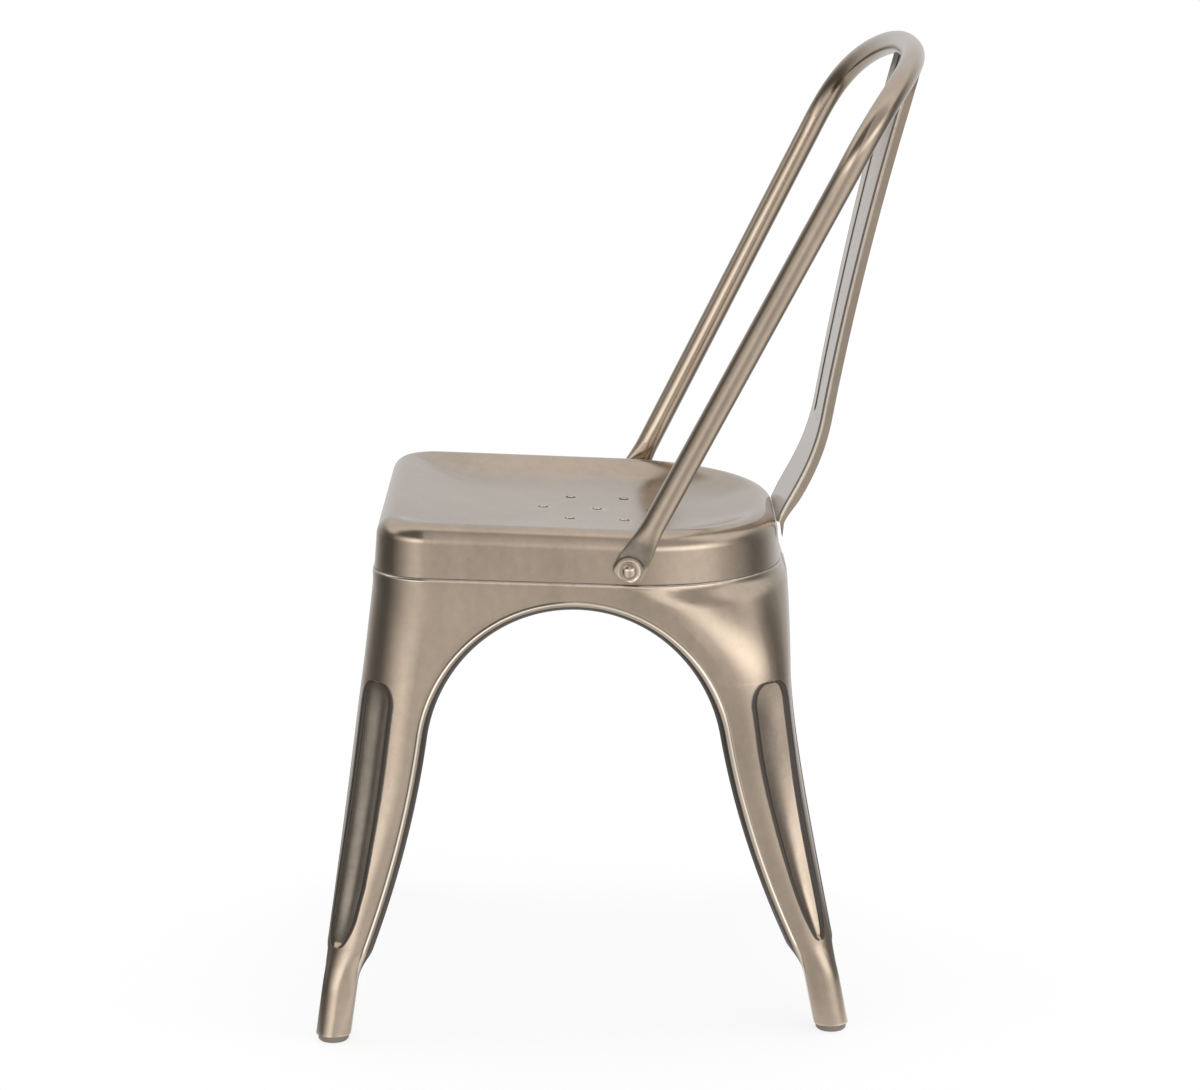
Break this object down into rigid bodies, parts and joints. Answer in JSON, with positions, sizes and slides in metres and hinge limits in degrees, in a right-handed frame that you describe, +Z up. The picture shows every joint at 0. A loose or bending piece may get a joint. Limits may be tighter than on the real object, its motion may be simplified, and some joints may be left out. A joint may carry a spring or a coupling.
{
  "type": "metal side chair",
  "caption": "Stacking bistro side chair in pressed sheet steel with a dished seat, arched legs, a bent tube back hoop and a central splat.",
  "frame": {"origin": "on the floor under the middle of the space the chair takes up", "axes": "+Z up, -Y towards the front of the seat, +X towards the sitter's left"},
  "size_m": [0.4762, 0.5224, 0.8353],
  "materials": {
    "steel": "rubbed gunmetal bronze under a satin clear coat",
    "rivet": "satin, rubbed like the steel",
    "glide": "matte, tinted to the steel",
    "bumper": "matt"
  },
  "bodies": {
    "root": {"seat_pan": "steel", "leg_front_left": "steel", "leg_front_right": "steel", "leg_rear_left": "steel", "leg_rear_right": "steel", "glide_front_left": "glide", "glide_front_right": "glide", "glide_rear_left": "glide", "glide_rear_right": "glide", "back_hoop": "steel", "back_splat": "steel", "rivet_left": "rivet", "rivet_right": "rivet", "washer_left": "rivet", "washer_right": "rivet", "brace_upper": "steel", "brace_lower": "steel", "bumper_front_left": "bumper", "bumper_front_right": "bumper", "bumper_rear_left": "bumper", "bumper_rear_right": "bumper"}
  },
  "joints": []
}
